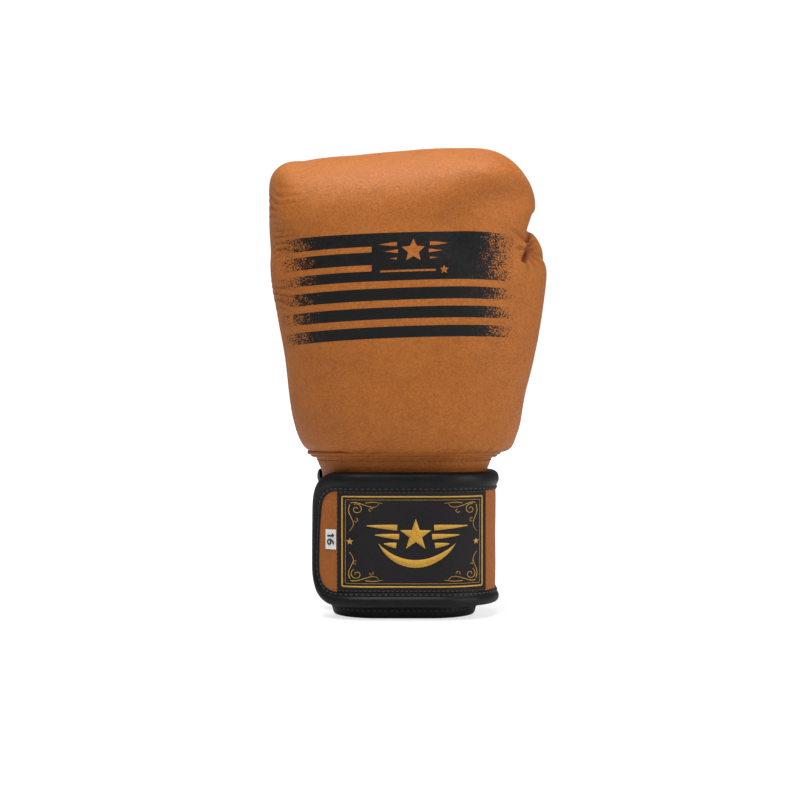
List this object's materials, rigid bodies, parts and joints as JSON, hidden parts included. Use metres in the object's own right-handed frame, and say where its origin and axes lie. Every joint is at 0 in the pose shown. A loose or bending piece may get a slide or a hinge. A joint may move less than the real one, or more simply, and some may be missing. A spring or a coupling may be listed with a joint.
{
  "type": "boxing glove",
  "caption": "Padded lace-free training glove for boxing: curled foam fist, attached thumb, tapered cuff and a wrap-round hook-and-loop wrist strap.",
  "frame": {"origin": "on the floor plane z = 0, under the middle of the glove's bounding box", "axes": "+Z from the cuff mouth up to the knuckles, +Y towards the palm (the back of the hand faces -Y), +X towards the thumb; a left-hand glove standing on its cuff"},
  "size_m": [0.1644, 0.1382, 0.276],
  "materials": {
    "tan_leather": "pull-up leather, waxed satin",
    "black_binding": "grained black leather",
    "foam": "layered latex and polyurethane foam",
    "dense_foam": "dense foam roll",
    "lining_cloth": "smooth woven lining",
    "woven_label": "woven label, black ground with gold thread",
    "size_tag": "white woven tag",
    "hook_tape": "hook side of the fastening tape",
    "loop_tape": "loop side of the fastening tape"
  },
  "bodies": {
    "hand": {"back_leather": "tan_leather", "palm_leather": "tan_leather", "hand_lining": "lining_cloth", "comfort_foam": "foam", "grip_bar": "dense_foam", "fist_foam": "foam", "palm_foam": "foam", "back_foam": "foam", "thumb_tether": "tan_leather", "cuff_back_leather": "tan_leather", "cuff_palm_leather": "tan_leather", "cuff_foam": "foam", "cuff_lining": "lining_cloth", "cuff_mouth_binding": "black_binding", "slit_binding": "black_binding", "wrist_welt": "tan_leather", "loop_tape": "loop_tape", "strap_root_leather": "tan_leather", "strap_root_padding": "foam"},
    "strap_palm": {"strap_palm_lining": "lining_cloth", "strap_palm_padding": "foam", "strap_palm_leather": "tan_leather", "strap_palm_binding_top": "black_binding", "strap_palm_binding_bottom": "black_binding"},
    "strap_wrap": {"strap_wrap_lining": "lining_cloth", "strap_wrap_padding": "foam", "strap_wrap_leather": "tan_leather", "strap_wrap_binding_top": "black_binding", "strap_wrap_binding_bottom": "black_binding"},
    "strap_end": {"strap_end_lining": "lining_cloth", "strap_end_padding": "foam", "strap_end_leather": "tan_leather", "strap_end_binding": "black_binding", "woven_label": "woven_label", "size_tag": "size_tag", "hook_tape": "hook_tape"},
    "thumb": {"thumb_outer_leather": "tan_leather", "thumb_inner_leather": "tan_leather", "thumb_foam": "foam", "thumb_lining": "lining_cloth"}
  },
  "joints": [
    {"name": "thumb_flex", "type": "hinge", "parent": "hand", "child": "thumb", "pos_m": [0.04833, 0.00234, 0.102], "axis": [-0.5, 0.866, 0], "range_deg": [0, 6], "stiffness_Nm_per_rad": 4},
    {"name": "strap_palm_lift", "type": "hinge", "parent": "hand", "child": "strap_palm", "pos_m": [-0.03237, 0.04114, 0.046], "axis": [0, 0, 1], "range_deg": [0, 19]},
    {"name": "strap_lift", "type": "hinge", "parent": "strap_palm", "child": "strap_wrap", "pos_m": [0.04251, 0.03071, 0.046], "axis": [0, 0, 1], "range_deg": [0, 90]},
    {"name": "strap_peel", "type": "hinge", "parent": "strap_wrap", "child": "strap_end", "pos_m": [0.05079, -0.01704, 0.046], "axis": [0, 0, 1], "range_deg": [0, 105]}
  ],
  "couplings": [
    {"joint": "strap_palm_lift", "follows": "strap_lift", "ratio": 0.2}
  ]
}
